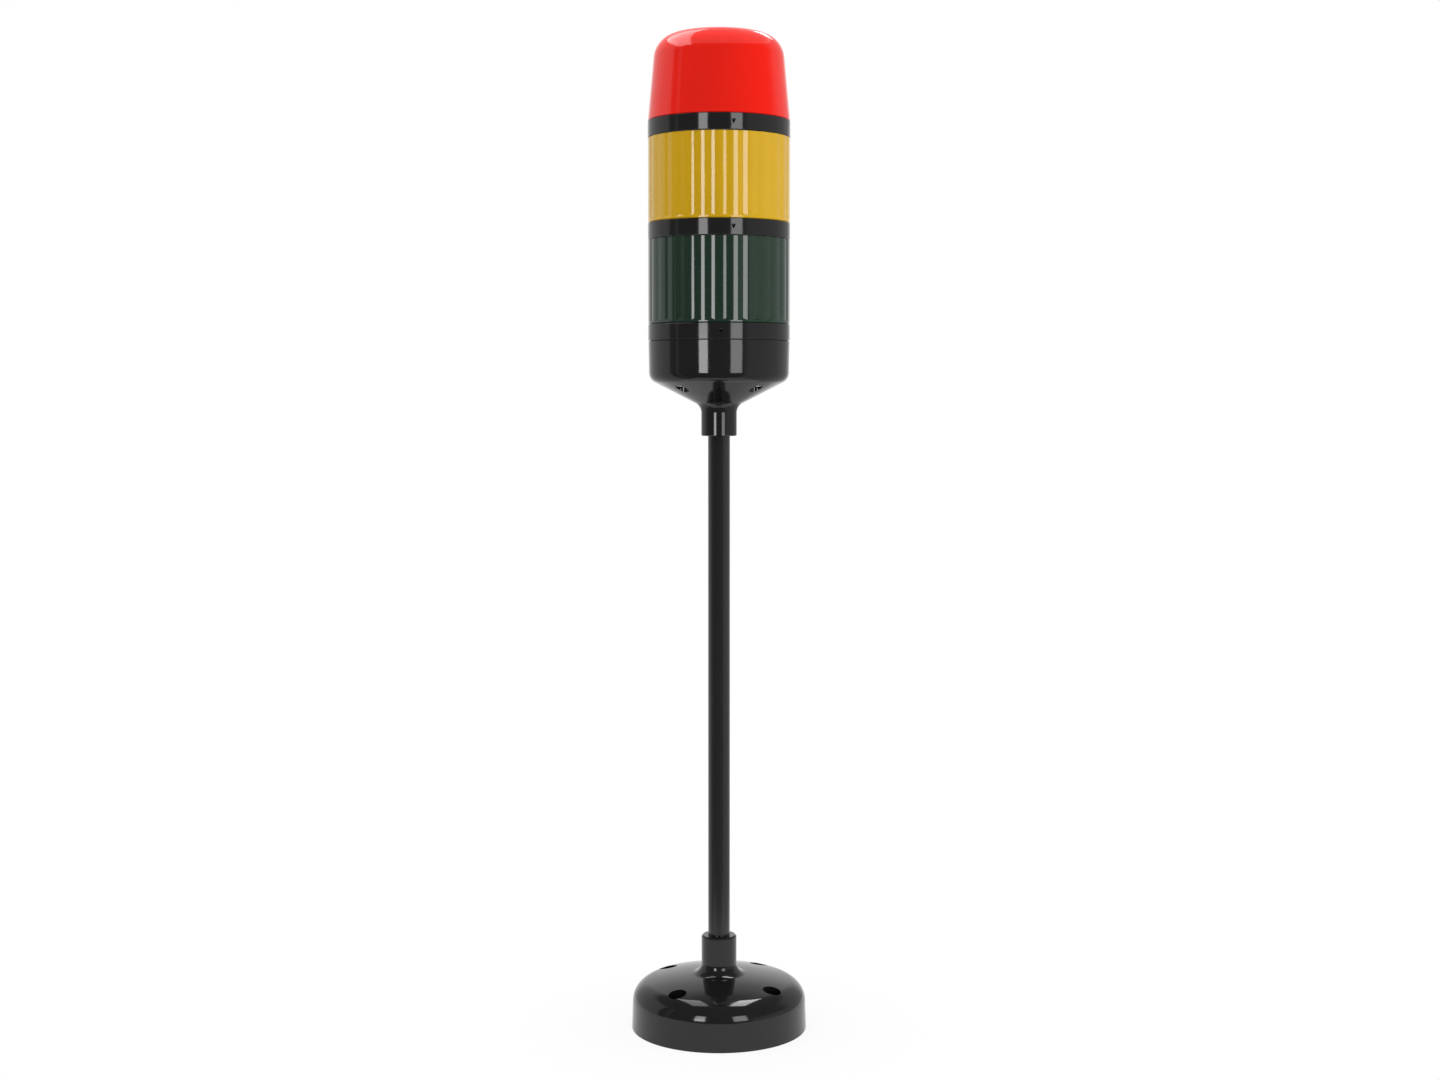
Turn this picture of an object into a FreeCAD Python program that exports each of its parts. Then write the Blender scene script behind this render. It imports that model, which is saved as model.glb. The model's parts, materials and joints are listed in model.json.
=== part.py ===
"""Signal tower: three twist-lock light modules on a terminal housing, a tube and a round foot.

Millimetres.  +Z is up, the origin is the middle of the foot's underside, and the front is -Y.
"""
import FreeCAD, Part
import math
import os

Vector = FreeCAD.Vector
Z_AXIS = Vector(0, 0, 1)
FRONT = -90.0                  # azimuth of the front, degrees
REAR = 90.0                    # azimuth of the contacts, at the back of the head
DIAGONAL = 45.0                # degrees from the front or rear to the first of four screws

# ---- clearances ----
RUNNING_GAP = 0.3              # between a module and the one that it turns on
PRESS_GAP = 0.05               # between pieces that are pushed together and stay
SEAT_GAP = 0.1                 # between pieces that are laid together and screwed
SCREW_GAP = 0.2                # round a screw's shank in a plain hole
LAMP_GAP = 0.2                 # between the lamp and its socket
CUT_OVERRUN = 1.0              # how far a cut goes past the wall that it opens
MOST_OF_SIDE = 0.999           # of a profile's straight side, that roundings may use up
SAME_POINT = 1e-6

# ---- foot ----
FOOT_RADIUS = 44.9             # at the underside
FOOT_DRAFT = 2.0               # degrees
FOOT_WALL = 3.0
FOOT_HEIGHT = 28.2             # of its domed top, were there no hub
FOOT_CROWN_RADIUS = 150.0      # of the sphere that the top is part of
FOOT_SHOULDER_ROUNDING = 10.5
FOOT_TURN = 7.0                # degrees that the foot is turned from the head, on the tube's thread
HUB_HEIGHT = 47.6
HUB_ROUNDING = 5.5
HUB_CHAMFER = 0.8
SKIRT_GAP = 2.0                # round wall about the nut, clear of the washer
SKIRT_WALL = 2.0
SKIRT_BOTTOM = 10.0
RIB_THICKNESS = 2.0
RIB_BOTTOM = 6.0
RIB_COUNT = 4
BOLT_INSET = 11.0              # from the foot's edge to the middle of a fixing hole
BOLT_COUNT = 4
BOLT_HOLE_RADIUS = 2.75        # clears an M5 screw
BOLT_WELL_RADIUS = 4.6         # clears the screw's head and its driver
BOLT_WELL_FLOOR = 8.0
BOLT_BOSS_WALL = 2.4
GASKET_WIDTH = 1.4             # in the middle of the rim
GASKET_THICKNESS = 1.2

# ---- tube ----
TUBE_RADIUS = 5.55
TUBE_LENGTH = 300.0            # between the shoulders of its two threaded ends
TUBE_WALL = 1.4
TUBE_SOCKET = 21.9             # how deep the foot and the head take it
SOCKET_TUBE_WALL = 3.45        # of the foot's hub and the housing's collar, round the tube
THREAD_STEP = 0.4              # from the tube's outside in to its threaded ends
THREAD_LENGTH = 12.0
WEB_THICKNESS = 4.0            # the floor that each shoulder of the tube stands against
WASHER_REACH = 4.0             # beyond the thread
WASHER_THICKNESS = 1.6
NUT_WALL = 2.0                 # beyond the thread, at a flat
NUT_HEIGHT = 5.0

# ---- terminal housing ----
HEAD_RADIUS = 35.65            # of the whole head, outside of its black rings
HOUSING_STEP = 0.1             # from the rings in to the housing's rim
HOUSING_DRAFT = 1.0            # degrees
HOUSING_HEIGHT = 47.4
HOUSING_FLOOR = 2.5            # thickness of the conical underside
HOUSING_SHOULDER_ROUNDING = 5.4
COLLAR_LENGTH = 15.0
COLLAR_ROUNDING = 5.5
COLLAR_CHAMFER = 0.4
CONE_ANGLE = 27.0              # degrees above the level
CORE_MARGIN = 3.5              # of the solid middle that holds the tube, round the washer
CORE_LEAST_RISE = 1.0          # of that middle over the floor round it

# ---- terminal carrier, held by four screws from below ----
CARRIER_DROP = 6.2             # from the housing's rim to the carrier's underside
CARRIER_FLOOR = 2.5
CARRIER_SCREW_INSET = 5.2      # from the neck's inside
CARRIER_SCREW_COUNT = 4
CARRIER_SCREW_RADIUS = 1.5
SCREW_HEAD_RADIUS = 2.8
SCREW_HEAD_HEIGHT = 2.2
SCREW_HEAD_SINK = 1.2          # of the head below the cone's skin, at its middle
SCREW_CROSS_LENGTH = 3.6
SCREW_CROSS_WIDTH = 0.8
SCREW_CROSS_DEPTH = 1.1
SCREW_WELL_GAP = 0.5           # round the screw's head
SCREW_POST_WALL = 2.5
SCREW_SLEEVE_WALL = 1.7
SCREW_SLEEVE_HEIGHT = 4.0
SCREW_END_GAP = 1.3            # from the screw's end to the top of its sleeve
WIRE_HOLE_RADIUS = 5.0
WIRE_HOLE_OFFSET = 18.5

# ---- terminal block ----
POLE_PITCH = 6.6
BLOCK_DEPTH = 9.0
BLOCK_HEIGHT = 9.0
BLOCK_INSET = 5.2              # from the neck's inside to the block's front
BLOCK_END_WALL = 1.0
WIRE_ENTRY_RADIUS = 1.5
WIRE_ENTRY_HEIGHT = 3.0
TAB_INSET = 4.5                # from the block's front to the tabs that the wires meet
TERMINAL_SCREW_RADIUS = 1.7
TERMINAL_SCREW_HEIGHT = 4.0    # it reaches down into the wire entry
TERMINAL_SCREW_SINK = 0.8
TERMINAL_SCREW_INSET = 3.0     # from the block's front
TERMINAL_SLOT_WIDTH = 0.6
TERMINAL_SLOT_DEPTH = 1.0

# ---- light modules ----
RING_HEIGHT = 8.5
RING_CHAMFER = 0.3
LENS_STEP = 0.1                # from the rings in to the lenses
LENS_HEIGHT = 41.9
LENS_WALL = 1.85               # behind the bottom of a flute
LENS_BASE_BAND = 1.0           # smooth band under the flutes
LENS_FOOT_CHAMFER = 0.4
LENS_SHOULDER = 2.2
FLUTE_COUNT = 28
FLUTE_DEPTH = 0.3
FLUTE_CREST_SHARE = 0.75       # of a flute's pitch, that its broad crest takes
FLUTE_RUNOUT = 1.0             # height over which the flutes die out above the smooth band
DOME_HEIGHT = 43.8
DOME_DRAFT = 5.3               # degrees
DOME_ROUNDING = 12.5
DOME_CROWN_RADIUS = 240.0      # of the sphere that its top is part of
DOME_WALL = 2.2
MODULES = (("green", 1.5), ("yellow", 11.5), ("red", 11.5))   # colour, azimuth of its mark
MARK_WIDTH = 2.4
MARK_HEIGHT = 2.6
MARK_DEPTH = 1.1

# ---- twist lock ----
LOCK_WALL = 2.1
LOCK_TURN = 15.0               # degrees from locked to free
LUG_COUNT = 3
LUG_REACH = 1.3
LUG_BOTTOM = 3.3
LUG_HEIGHT = 1.5
LUG_SPREAD = 8.0               # degrees
SLOT_GAP_ANGLE = 0.6           # degrees between a lug and the end of its slot
LOCK_START = 60.0              # azimuth of the first lug
SEAL_HEIGHT = 1.2

# ---- lamp holder ----
FLANGE_REACH = 5.0             # of the ring's inner flange
FLANGE_THICKNESS = 1.6
FLANGE_LAP = 1.2               # height over which the flange meets the ring's outer wall
FLANGE_GAP = 0.5               # over the neck below
COLLAR_RISE = 2.4              # of the ring's rim inside the lens
COLLAR_WALL = 1.9
PLATE_THICKNESS = 2.0
SOCKET_WALL = 1.7
SOCKET_FLOOR = 1.6
SOCKET_RISE = 7.4              # above the plate
SOCKET_DROP = 6.0              # below the plate
LOCK_SLOT_DEPTH = 6.0
LOCK_SLOT_TURN = 30.0          # degrees
POST_WALL = 1.4
POST_CLEARANCE = 0.4           # inside the neck of the lens
DECK_THICKNESS = 1.9
DECK_MARGIN = 0.8              # from the innermost pad to the deck's edge
DECK_START = -20.0             # degrees from the rear
DECK_END = 22.0

# ---- contacts ----
TRACK_PITCH = 4.0
TRACK_MARGIN = 1.0             # from the outermost pad to the post
RISER_ANGLES = (-7.0, 7.0, -15.0, 15.0)    # of each track, degrees from the rear, outermost first
STRIP_WIDTH = 2.0
STRIP_THICKNESS = 0.5
PAD_THICKNESS = 0.8
PAD_START = -5.0               # degrees from the rear
PAD_END = 19.0
PAD_GAP = 0.3                  # under the tails of the module above
FEED_COUNT = 2                 # of the innermost tracks, that feed the module's own lamp

# ---- lamp ----
LAMP_CAP_RADIUS = 7.5
LAMP_SHOULDER_GAP = 0.4        # over the socket's rim
LAMP_RADIUS = 8.6
LAMP_HEIGHT = 37.0
LAMP_NOSE_ROUNDING = 3.5
LAMP_FOOT_CHAMFER = 1.0
LAMP_PIN_RADIUS = 1.0
LAMP_PIN_REACH = 1.2
LAMP_CONTACT_RADIUS = 1.1
LAMP_CONTACT_OFFSET = 3.2
LAMP_CONTACT_RISE = 0.8

# ---- radii that follow ----
THREAD_RADIUS = TUBE_RADIUS - THREAD_STEP
TUBE_BORE_RADIUS = TUBE_RADIUS - TUBE_WALL
TUBE_SOCKET_RADIUS = TUBE_RADIUS + PRESS_GAP
HUB_RADIUS = TUBE_RADIUS + SOCKET_TUBE_WALL
COLLAR_RADIUS = TUBE_RADIUS + SOCKET_TUBE_WALL
WASHER_RADIUS = THREAD_RADIUS + WASHER_REACH
SKIRT_BORE_RADIUS = WASHER_RADIUS + SKIRT_GAP
SKIRT_RADIUS = SKIRT_BORE_RADIUS + SKIRT_WALL
CORE_RADIUS = WASHER_RADIUS + CORE_MARGIN
BOLT_CIRCLE_RADIUS = FOOT_RADIUS - BOLT_INSET
GASKET_RADIUS = FOOT_RADIUS - (FOOT_WALL - GASKET_WIDTH) / 2
HOUSING_RADIUS = HEAD_RADIUS - HOUSING_STEP
LENS_RADIUS = HEAD_RADIUS - LENS_STEP
LENS_BORE_RADIUS = LENS_RADIUS - FLUTE_DEPTH - LENS_WALL
LOCK_RADIUS = LENS_BORE_RADIUS - RUNNING_GAP      # outside of the neck that a module turns on
LOCK_BORE_RADIUS = LOCK_RADIUS - LOCK_WALL
HOUSING_BORE_RADIUS = LOCK_RADIUS + SEAT_GAP
CARRIER_SCREW_CIRCLE_RADIUS = LOCK_BORE_RADIUS - CARRIER_SCREW_INSET
SCREW_WELL_RADIUS = SCREW_HEAD_RADIUS + SCREW_WELL_GAP
RING_BORE_RADIUS = LOCK_RADIUS + RUNNING_GAP
SLOT_RADIUS = LOCK_RADIUS + LUG_REACH + RUNNING_GAP
RING_COLLAR_RADIUS = LENS_BORE_RADIUS - PRESS_GAP
PLATE_RADIUS = RING_COLLAR_RADIUS - COLLAR_WALL - PRESS_GAP
BLOCK_FRONT = LOCK_BORE_RADIUS - BLOCK_INSET
POST_RADIUS = LOCK_BORE_RADIUS - POST_CLEARANCE
POST_FACE_RADIUS = POST_RADIUS - POST_WALL
OUTER_TRACK_RADIUS = POST_FACE_RADIUS - TRACK_MARGIN - STRIP_WIDTH / 2
TRACK_COUNT = len(RISER_ANGLES)
TRACK_RADII = [OUTER_TRACK_RADIUS - track * TRACK_PITCH for track in range(TRACK_COUNT)]
DECK_INNER_RADIUS = TRACK_RADII[-1] - STRIP_WIDTH / 2 - DECK_MARGIN
SOCKET_BORE_RADIUS = LAMP_CAP_RADIUS + LAMP_GAP
SOCKET_RADIUS = SOCKET_BORE_RADIUS + SOCKET_WALL
LOCK_SLOT_WIDTH = 2 * (LAMP_PIN_RADIUS + LAMP_GAP)

# ---- heights that follow, of the stand ----
FOOT_SEAT = HUB_HEIGHT - TUBE_SOCKET
HEAD_SEAT = FOOT_SEAT + TUBE_LENGTH
FOOT_WEB_BOTTOM = FOOT_SEAT - WEB_THICKNESS
HEAD_WEB_TOP = HEAD_SEAT + WEB_THICKNESS
HOUSING_BOTTOM = HEAD_SEAT - TUBE_SOCKET
HOUSING_TOP = HOUSING_BOTTOM + HOUSING_HEIGHT
CARRIER_BOTTOM = HOUSING_TOP - CARRIER_DROP
CARRIER_TOP = CARRIER_BOTTOM + CARRIER_FLOOR
SLEEVE_TOP = CARRIER_TOP + SCREW_SLEEVE_HEIGHT
BLOCK_TOP = CARRIER_TOP + BLOCK_HEIGHT
MODULE_PITCH = RING_HEIGHT + LENS_HEIGHT

# ---- heights that follow, of a module, up from the seam under it ----
FLANGE_BOTTOM = RING_HEIGHT - FLANGE_LAP
LOCK_RISE = FLANGE_BOTTOM - FLANGE_GAP
PLATE_BOTTOM = FLANGE_BOTTOM + FLANGE_THICKNESS
PLATE_TOP = PLATE_BOTTOM + PLATE_THICKNESS
COLLAR_TOP = PLATE_BOTTOM + COLLAR_RISE
SOCKET_BOTTOM = PLATE_BOTTOM - SOCKET_DROP
SOCKET_TOP = PLATE_TOP + SOCKET_RISE
LOCK_SLOT_BOTTOM = SOCKET_TOP - LOCK_SLOT_DEPTH
LAMP_BOTTOM = SOCKET_BOTTOM + SOCKET_FLOOR + LAMP_CONTACT_RISE
LAMP_CAP_TOP = SOCKET_TOP + LAMP_SHOULDER_GAP


# ---- building blocks ----
def polar(radius, azimuth, height=0.0):
    """Point at a radius and an azimuth in degrees about the tower's axis."""
    angle = math.radians(azimuth)
    return Vector(radius * math.cos(angle), radius * math.sin(angle), height)


def rounded_face(corners):
    """Face in the XZ plane through (radius, height, rounding) corners.

    Where two roundings would not fit on the side between them, both are reduced in proportion.
    """
    count = len(corners)
    points = [Vector(radius, 0, height) for radius, height, rounding in corners]
    sides = [points[(i + 1) % count] - points[i] for i in range(count)]
    halves = [(-sides[i - 1]).getAngle(sides[i]) / 2 for i in range(count)]
    reaches = [corners[i][2] / math.tan(halves[i]) for i in range(count)]
    shares = []
    for i in range(count):
        wanted = reaches[i] + reaches[(i + 1) % count]
        shares.append(min(1.0, MOST_OF_SIDE * sides[i].Length / wanted) if wanted else 1.0)
    edges = []
    ends = []
    for i in range(count):
        reach = reaches[i] * min(shares[i - 1], shares[i])
        toward_last = Vector(-sides[i - 1]).normalize()
        toward_next = Vector(sides[i]).normalize()
        start = points[i] + toward_last * reach
        end = points[i] + toward_next * reach
        ends.append((start, end))
        if reach > 0:
            radius = reach * math.tan(halves[i])
            inward = (toward_last + toward_next).normalize()
            middle = points[i] + inward * (radius / math.sin(halves[i]) - radius)
            edges.append(Part.Arc(start, middle, end).toShape())
    for i in range(count):
        start, end = ends[i][1], ends[(i + 1) % count][0]
        if start.distanceToPoint(end) > SAME_POINT:
            edges.append(Part.makeLine(start, end))
    return Part.Face(Part.Wire(Part.__sortEdges__(edges)))


def turned(corners):
    """Solid of revolution about the tower's axis."""
    return rounded_face(corners).revolve(Vector(0, 0, 0), Z_AXIS, 360)


def crown_point(top, crown_radius, radius):
    """Point of a spherical top at a distance from the axis."""
    return Vector(radius, 0, top - crown_radius + math.sqrt(crown_radius ** 2 - radius ** 2))


def drum_edges(radius, draft, bottom, top, crown_radius, rounding, crown_end):
    """Profile of a drafted wall, its shoulder and a spherical top, in to a distance from the axis."""
    slope = math.radians(draft)
    along = Vector(-math.sin(slope), 0, math.cos(slope))
    inward = Vector(-math.cos(slope), 0, -math.sin(slope))
    foot = Vector(radius, 0, bottom)
    crown_centre = Vector(0, 0, top - crown_radius)
    # the shoulder's centre lies one rounding inside both the wall and the sphere
    offset = foot + inward * rounding - crown_centre
    lead = offset.dot(along)
    reach = math.sqrt(lead ** 2 - offset.dot(offset) + (crown_radius - rounding) ** 2) - lead
    centre = foot + inward * rounding + along * reach
    outward = (centre - crown_centre).normalize()
    wall_end = centre - inward * rounding
    shoulder_middle = centre + (outward - inward).normalize() * rounding
    crown_start = centre + outward * rounding
    crown_middle = crown_point(top, crown_radius, (crown_start.x + crown_end) / 2)
    crown_stop = crown_point(top, crown_radius, crown_end)
    return [
        Part.makeLine(foot, wall_end),
        Part.Arc(wall_end, shoulder_middle, crown_start).toShape(),
        Part.Arc(crown_start, crown_middle, crown_stop).toShape(),
    ]


def closed_turning(edges, corners):
    """Solid of revolution of a profile that goes on from its edges through (radius, height) corners."""
    points = [edges[-1].lastVertex().Point]
    points += [Vector(radius, 0, height) for radius, height in corners]
    points.append(edges[0].firstVertex().Point)
    lines = [Part.makeLine(start, end) for start, end in zip(points, points[1:])]
    return Part.Face(Part.Wire(edges + lines)).revolve(Vector(0, 0, 0), Z_AXIS, 360)


def crowned_drum(radius, draft, bottom, top, crown_radius, rounding):
    """Drafted drum under a spherical top, with a rounded shoulder."""
    edges = drum_edges(radius, draft, bottom, top, crown_radius, rounding, 0)
    return closed_turning(edges, [(0, bottom)])


def disc(radius, bottom, top, centre=Vector(0, 0, 0)):
    """Upright cylinder between two heights."""
    return Part.makeCylinder(radius, top - bottom, Vector(centre.x, centre.y, bottom))


def band(inner, outer, bottom, top, start=0.0, end=360.0):
    """Upright wall between two radii, all round or between two azimuths."""
    height = top - bottom
    base = Vector(0, 0, bottom)
    wall = Part.makeCylinder(outer, height, base, Z_AXIS, end - start)
    wall = wall.cut(Part.makeCylinder(inner, height, base))
    return wall.rotate(Vector(0, 0, 0), Z_AXIS, start)


def bar(width, inner, outer, bottom, top, azimuth):
    """Block of constant width that runs outwards at an azimuth."""
    block = Part.makeBox(outer - inner, width, top - bottom, Vector(inner, -width / 2, bottom))
    return block.rotate(Vector(0, 0, 0), Z_AXIS, azimuth)


def around(count, start=0.0):
    """Azimuths of evenly spaced features."""
    return [start + i * 360.0 / count for i in range(count)]


def joined(shapes):
    """One solid from shapes that meet."""
    first, *others = shapes
    return first.fuse(others).removeSplitter()


def carved(shape, tools):
    """The shape with every tool cut out of it."""
    return shape.cut(list(tools)).removeSplitter()


def hexagon(across_flats, bottom, top, bore):
    """Nut blank with a bore."""
    sides = 6
    corner = across_flats / 2 / math.cos(math.pi / sides)
    points = [polar(corner, azimuth, bottom) for azimuth in around(sides)]
    outline = Part.makePolygon(points + points[:1])
    return Part.Face(outline).extrude(Vector(0, 0, top - bottom)).cut(disc(bore, bottom, top))


# ---- foot ----
def make_foot_skin():
    """Outside of the foot, filled: the domed drum, and the hub that rises from it on a hollow root."""
    root_radius = HUB_RADIUS + HUB_ROUNDING
    share = FOOT_CROWN_RADIUS / (FOOT_CROWN_RADIUS + HUB_ROUNDING)
    root_centre = crown_point(FOOT_HEIGHT + HUB_ROUNDING, FOOT_CROWN_RADIUS + HUB_ROUNDING, root_radius)
    root_foot = crown_point(FOOT_HEIGHT, FOOT_CROWN_RADIUS, root_radius * share)
    root_top = root_centre - Vector(HUB_ROUNDING, 0, 0)
    toward_middle = (root_foot + root_top) * 0.5 - root_centre
    root_middle = root_centre + toward_middle.normalize() * HUB_ROUNDING
    edges = drum_edges(FOOT_RADIUS, FOOT_DRAFT, 0, FOOT_HEIGHT, FOOT_CROWN_RADIUS,
                       FOOT_SHOULDER_ROUNDING, root_foot.x)
    edges.append(Part.Arc(root_foot, root_middle, root_top).toShape())
    return closed_turning(edges, [
        (HUB_RADIUS, HUB_HEIGHT - HUB_CHAMFER),
        (HUB_RADIUS - HUB_CHAMFER, HUB_HEIGHT),
        (0, HUB_HEIGHT),
        (0, 0),
    ])


def make_foot():
    """Moulded foot: hollow below, with a hub for the tube and four sunk fixing holes."""
    cavity = crowned_drum(FOOT_RADIUS - FOOT_WALL, FOOT_DRAFT, 0, FOOT_HEIGHT - FOOT_WALL,
                          FOOT_CROWN_RADIUS - FOOT_WALL, FOOT_SHOULDER_ROUNDING - FOOT_WALL)
    skirt = band(SKIRT_BORE_RADIUS, SKIRT_RADIUS, SKIRT_BOTTOM, FOOT_HEIGHT)
    web = disc(SKIRT_RADIUS, FOOT_WEB_BOTTOM, FOOT_HEIGHT)
    bosses = []
    wells = []
    for azimuth in around(BOLT_COUNT, FOOT_TURN + DIAGONAL):
        centre = polar(BOLT_CIRCLE_RADIUS, azimuth)
        bosses.append(disc(BOLT_WELL_RADIUS + BOLT_BOSS_WALL, 0, FOOT_HEIGHT, centre))
        wells.append(disc(BOLT_WELL_RADIUS, BOLT_WELL_FLOOR, FOOT_HEIGHT, centre))
        wells.append(disc(BOLT_HOLE_RADIUS, 0, FOOT_HEIGHT, centre))
    ribs = [bar(RIB_THICKNESS, SKIRT_BORE_RADIUS, FOOT_RADIUS, RIB_BOTTOM, FOOT_HEIGHT, azimuth)
            for azimuth in around(RIB_COUNT, FOOT_TURN)]
    inside = joined([skirt, web] + bosses + ribs).common(cavity)
    tube_socket = disc(TUBE_SOCKET_RADIUS, FOOT_SEAT, HUB_HEIGHT)
    thread_hole = disc(THREAD_RADIUS + SCREW_GAP, FOOT_WEB_BOTTOM, FOOT_SEAT)
    shell = joined([make_foot_skin().cut(cavity), inside])
    return carved(shell, wells + [make_foot_gasket(), tube_socket, thread_hole])


def make_foot_gasket():
    """Flat sealing ring in a groove of the foot's underside."""
    return band(GASKET_RADIUS - GASKET_WIDTH, GASKET_RADIUS, 0, GASKET_THICKNESS)


# ---- tube and its fixings ----
def make_tube():
    """Steel tube with a shoulder and a threaded end for each nut."""
    body = disc(TUBE_RADIUS, FOOT_SEAT, HEAD_SEAT)
    lower_end = disc(THREAD_RADIUS, FOOT_SEAT - THREAD_LENGTH, FOOT_SEAT)
    upper_end = disc(THREAD_RADIUS, HEAD_SEAT, HEAD_SEAT + THREAD_LENGTH)
    bore = disc(TUBE_BORE_RADIUS, FOOT_SEAT - THREAD_LENGTH, HEAD_SEAT + THREAD_LENGTH)
    return joined([body, lower_end, upper_end]).cut(bore)


def make_washer(bottom):
    """Washer on a threaded end of the tube."""
    return band(THREAD_RADIUS + SCREW_GAP, WASHER_RADIUS, bottom, bottom + WASHER_THICKNESS)


def make_nut(bottom):
    """Flat nut on a threaded end of the tube."""
    return hexagon(2 * (THREAD_RADIUS + NUT_WALL), bottom, bottom + NUT_HEIGHT, THREAD_RADIUS)


# ---- terminal housing ----
def cone_height(radius):
    """Height of the housing's conical underside at a radius."""
    rise = (radius - COLLAR_RADIUS) * math.tan(math.radians(CONE_ANGLE))
    return HOUSING_BOTTOM + COLLAR_LENGTH + rise


def screw_seat():
    """Height that the heads of the carrier's screws press against."""
    return cone_height(CARRIER_SCREW_CIRCLE_RADIUS) + SCREW_HEAD_SINK + SCREW_HEAD_HEIGHT


def screw_centres():
    """Middles of the carrier's screws."""
    return [polar(CARRIER_SCREW_CIRCLE_RADIUS, azimuth)
            for azimuth in around(CARRIER_SCREW_COUNT, REAR + DIAGONAL)]


def make_housing():
    """Moulded cup on a collar: closed by the terminal carrier, open for the tube below."""
    draft = math.tan(math.radians(HOUSING_DRAFT))
    slope = math.tan(math.radians(CONE_ANGLE))
    # the edge where the drafted wall, down from the rim, meets the cone
    cone_drop = HOUSING_HEIGHT - COLLAR_LENGTH + COLLAR_RADIUS * slope
    edge_radius = (HOUSING_RADIUS - draft * cone_drop) / (1 - draft * slope)
    floor_rise = HOUSING_FLOOR / math.cos(math.radians(CONE_ANGLE))
    core_foot = min(cone_height(CORE_RADIUS) + floor_rise, HEAD_WEB_TOP - CORE_LEAST_RISE)
    skin = turned([
        (0, HOUSING_BOTTOM, 0),
        (COLLAR_RADIUS - COLLAR_CHAMFER, HOUSING_BOTTOM, 0),
        (COLLAR_RADIUS, HOUSING_BOTTOM + COLLAR_CHAMFER, 0),
        (COLLAR_RADIUS, cone_height(COLLAR_RADIUS), COLLAR_ROUNDING),
        (edge_radius, cone_height(edge_radius), HOUSING_SHOULDER_ROUNDING),
        (HOUSING_RADIUS, HOUSING_TOP, 0),
        (0, HOUSING_TOP, 0),
    ])
    cavity = turned([
        (0, HEAD_WEB_TOP, 0),
        (CORE_RADIUS, HEAD_WEB_TOP, 0),
        (CORE_RADIUS, core_foot, 0),
        (HOUSING_BORE_RADIUS, cone_height(HOUSING_BORE_RADIUS) + floor_rise,
         HOUSING_SHOULDER_ROUNDING - HOUSING_FLOOR),
        (HOUSING_BORE_RADIUS, HOUSING_TOP, 0),
        (0, HOUSING_TOP, 0),
    ])
    shank_hole = CARRIER_SCREW_RADIUS + SCREW_GAP
    posts = []
    holes = []
    for centre in screw_centres():
        posts.append(disc(shank_hole + SCREW_POST_WALL, HOUSING_BOTTOM, CARRIER_BOTTOM, centre))
        holes.append(disc(SCREW_WELL_RADIUS, HOUSING_BOTTOM, screw_seat(), centre))
        holes.append(disc(shank_hole, HOUSING_BOTTOM, HOUSING_TOP, centre))
    inside = [post.common(cavity) for post in posts]
    tube_socket = disc(TUBE_SOCKET_RADIUS, HOUSING_BOTTOM, HEAD_SEAT)
    thread_hole = disc(THREAD_RADIUS + SCREW_GAP, HEAD_SEAT, HEAD_WEB_TOP)
    shell = joined([skin.cut(cavity)] + inside)
    return carved(shell, holes + [tube_socket, thread_hole])


def make_carrier_screws():
    """Four screws that hold the carrier down, their heads in wells of the cone."""
    seat = screw_seat()
    head_bottom = seat - SCREW_HEAD_HEIGHT
    screws = []
    for centre in screw_centres():
        head = disc(SCREW_HEAD_RADIUS, head_bottom, seat, centre)
        shank = disc(CARRIER_SCREW_RADIUS, seat, SLEEVE_TOP - SCREW_END_GAP, centre)
        corner = centre + Vector(-SCREW_CROSS_LENGTH / 2, -SCREW_CROSS_WIDTH / 2, head_bottom)
        slot = Part.makeBox(SCREW_CROSS_LENGTH, SCREW_CROSS_WIDTH, SCREW_CROSS_DEPTH, corner)
        cross = slot.copy().rotate(centre, Z_AXIS, 90)
        screws.append(carved(joined([head, shank]), [slot, cross]))
    return screws


# ---- twist lock ----
def lock_neck(seam, bottom):
    """Neck with lugs that the module above turns on; `seam` is the level where they part."""
    neck = band(LOCK_BORE_RADIUS, LOCK_RADIUS, bottom, seam + LOCK_RISE)
    lugs = []
    for azimuth in around(LUG_COUNT, LOCK_START):
        lugs.append(band(LOCK_BORE_RADIUS, LOCK_RADIUS + LUG_REACH, seam + LUG_BOTTOM,
                         seam + LUG_BOTTOM + LUG_HEIGHT,
                         azimuth - LUG_SPREAD / 2, azimuth + LUG_SPREAD / 2))
    return joined([neck] + lugs)


def lock_slots(seam):
    """Angled slots in a ring: each takes a lug from below and lets it turn to the stop."""
    slots = []
    reach = LUG_SPREAD / 2 + SLOT_GAP_ANGLE
    slot_bottom = seam + LUG_BOTTOM - RUNNING_GAP
    slot_top = seam + LUG_BOTTOM + LUG_HEIGHT + RUNNING_GAP
    for azimuth in around(LUG_COUNT, LOCK_START):
        entry = azimuth - LOCK_TURN
        slots.append(band(LOCK_BORE_RADIUS, SLOT_RADIUS, slot_bottom, slot_top,
                          entry - reach, azimuth + reach))
        slots.append(band(LOCK_BORE_RADIUS, SLOT_RADIUS, seam, slot_top,
                          entry - reach, entry + reach))
    return slots


def make_seal(seam):
    """Sealing ring at the foot of a neck, under the module that stands on it."""
    return band(LOCK_RADIUS, LOCK_RADIUS + LUG_REACH, seam, seam + SEAL_HEIGHT)


# ---- contacts ----
def contact_pad(track, seam):
    """Arc of brass on top of a deck, with the length that the twist lock sweeps."""
    radius = TRACK_RADII[track]
    riser = RISER_ANGLES[track]
    margin = math.degrees(STRIP_WIDTH / 2 / radius)
    return band(radius - STRIP_WIDTH / 2, radius + STRIP_WIDTH / 2, seam, seam + PAD_THICKNESS,
                REAR + min(PAD_START, riser - margin), REAR + max(PAD_END, riser + margin))


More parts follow.
